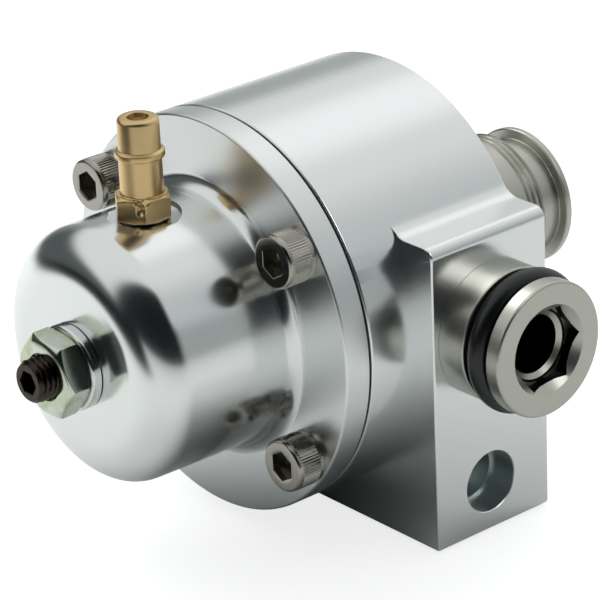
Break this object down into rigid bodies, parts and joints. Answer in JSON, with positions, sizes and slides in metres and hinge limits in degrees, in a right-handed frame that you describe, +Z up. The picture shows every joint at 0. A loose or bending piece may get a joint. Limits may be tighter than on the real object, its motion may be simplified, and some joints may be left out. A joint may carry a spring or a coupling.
{
  "type": "fuel pressure regulator",
  "caption": "Adjustable fuel pressure regulator with a square port block, a polished bell cap, a vacuum nipple and two O-ring spigots.",
  "frame": {"origin": "on the flat underside of the port block, straight below the point where the main axis and the side port's plane meet", "axes": "+Y along the main axis from the bell cap to the rear spigot, +X along the side spigot, +Z up out of the base"},
  "size_m": [0.0752, 0.0967, 0.0654],
  "materials": {
    "satin_aluminium": "turned and clear anodised, satin",
    "polished_aluminium": "mirror polished",
    "stainless_steel": "turned stainless steel",
    "screw_steel": "bright stainless steel",
    "black_oxide_steel": "black oxide, oiled",
    "zinc_plated_steel": "zinc plated, yellow-green tint",
    "brass": "turned",
    "black_rubber": "smooth",
    "diaphragm_rubber": "fabric-backed",
    "spring_steel": "oiled"
  },
  "bodies": {
    "housing": {"body": "satin_aluminium", "cap": "polished_aluminium", "cap_screw_1": "screw_steel", "cap_screw_2": "screw_steel", "cap_screw_3": "screw_steel", "cap_screw_4": "screw_steel", "diaphragm": "diaphragm_rubber", "valve_seat": "brass", "main_spring": "spring_steel", "vacuum_nipple": "brass", "nipple_gasket": "black_rubber", "side_fitting": "stainless_steel", "side_fitting_oring": "black_rubber", "side_fitting_seal": "black_rubber", "rear_fitting": "stainless_steel", "rear_fitting_seal": "black_rubber"},
    "valve_stack": {"spring_cup": "stainless_steel", "valve_holder": "stainless_steel", "stud_nut": "screw_steel", "valve_ball": "screw_steel"},
    "spring_button": {"spring_seat": "stainless_steel"},
    "adjuster": {"adjusting_screw": "black_oxide_steel"},
    "washer": {"lock_washer": "screw_steel"},
    "nut": {"lock_nut": "zinc_plated_steel"}
  },
  "joints": [
    {"name": "valve_lift", "type": "slide", "parent": "housing", "child": "valve_stack", "axis": [0, -1, 0], "range_m": [0, 0.0008], "stiffness_N_per_m": 18000, "deforming": ["main_spring", "diaphragm"]},
    {"name": "screw_travel", "type": "slide", "parent": "housing", "child": "spring_button", "axis": [0, 1, 0], "range_m": [-0.002, 0.0025], "deforming": ["main_spring"]},
    {"name": "screw_turn", "type": "hinge", "parent": "spring_button", "child": "adjuster", "pos_m": [0, -0.0575, 0.0318], "axis": [0, 1, 0], "range_deg": [-794, 993]},
    {"name": "nut_travel", "type": "slide", "parent": "housing", "child": "washer", "axis": [0, -1, 0], "range_m": [0, 0.000907]},
    {"name": "nut_turn", "type": "hinge", "parent": "washer", "child": "nut", "pos_m": [0, -0.0528, 0.0318], "axis": [0, -1, 0], "range_deg": [0, 361]}
  ],
  "couplings": [
    {"joint": "screw_turn", "follows": "screw_travel", "rad_per_m": 6926.4},
    {"joint": "nut_turn", "follows": "nut_travel", "rad_per_m": 6926.4}
  ]
}
